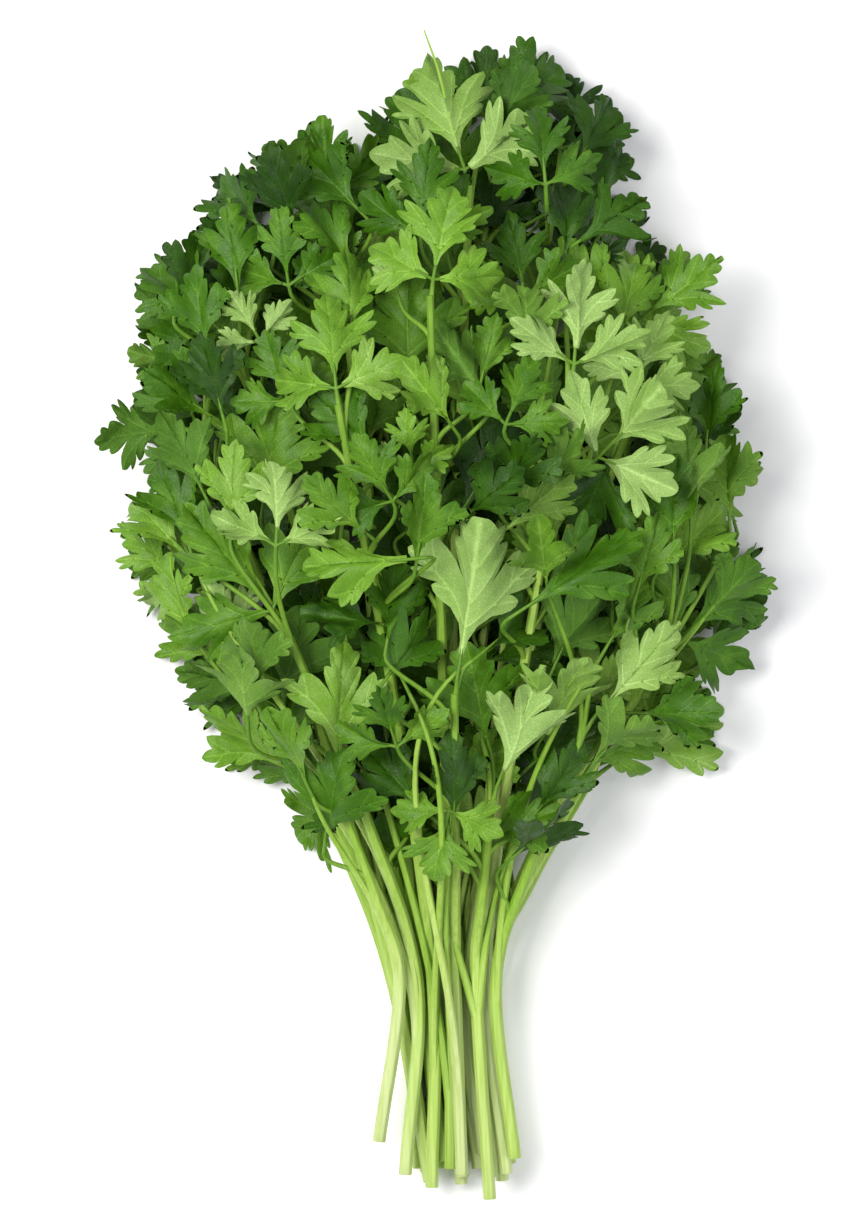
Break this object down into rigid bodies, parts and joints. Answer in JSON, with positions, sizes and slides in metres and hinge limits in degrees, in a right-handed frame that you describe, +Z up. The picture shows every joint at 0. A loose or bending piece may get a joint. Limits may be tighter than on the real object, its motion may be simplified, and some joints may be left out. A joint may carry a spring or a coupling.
{
  "type": "parsley bunch",
  "caption": "Loose bunch of cut flat-leaf parsley lying down: bare stalks gathered at a waist fan into a domed crown of toothed leaves.",
  "frame": {"origin": "on the table, under the middle of the bunch's box", "axes": "+Y from the cut ends of the stalks to the top of the crown, +Z up from the table, +X to the right"},
  "size_m": [0.1686, 0.2919, 0.062],
  "materials": {
    "deep_leaf": "satin deep green leaf",
    "mid_leaf": "satin mid green leaf",
    "light_leaf": "matte yellow-green leaf"
  },
  "bodies": {
    "root": {"leafy_stem_01": "deep_leaf", "leafy_stem_02": "mid_leaf", "leafy_stem_03": "light_leaf", "leafy_stem_04": "deep_leaf", "leafy_stem_05": "mid_leaf", "leafy_stem_06": "light_leaf", "leafy_stem_07": "deep_leaf", "leafy_stem_08": "mid_leaf", "leafy_stem_09": "light_leaf", "leafy_stem_10": "deep_leaf", "leafy_stem_11": "mid_leaf", "leafy_stem_12": "light_leaf", "leafy_stem_13": "deep_leaf", "leafy_stem_14": "mid_leaf", "leafy_stem_15": "light_leaf", "leafy_stem_16": "deep_leaf", "leafy_stem_17": "mid_leaf", "leafy_stem_18": "light_leaf", "leafy_stem_19": "deep_leaf", "leafy_stem_20": "mid_leaf", "leafy_stem_21": "light_leaf", "leafy_stem_22": "deep_leaf", "leafy_stem_23": "mid_leaf", "leafy_stem_24": "light_leaf"}
  },
  "joints": []
}
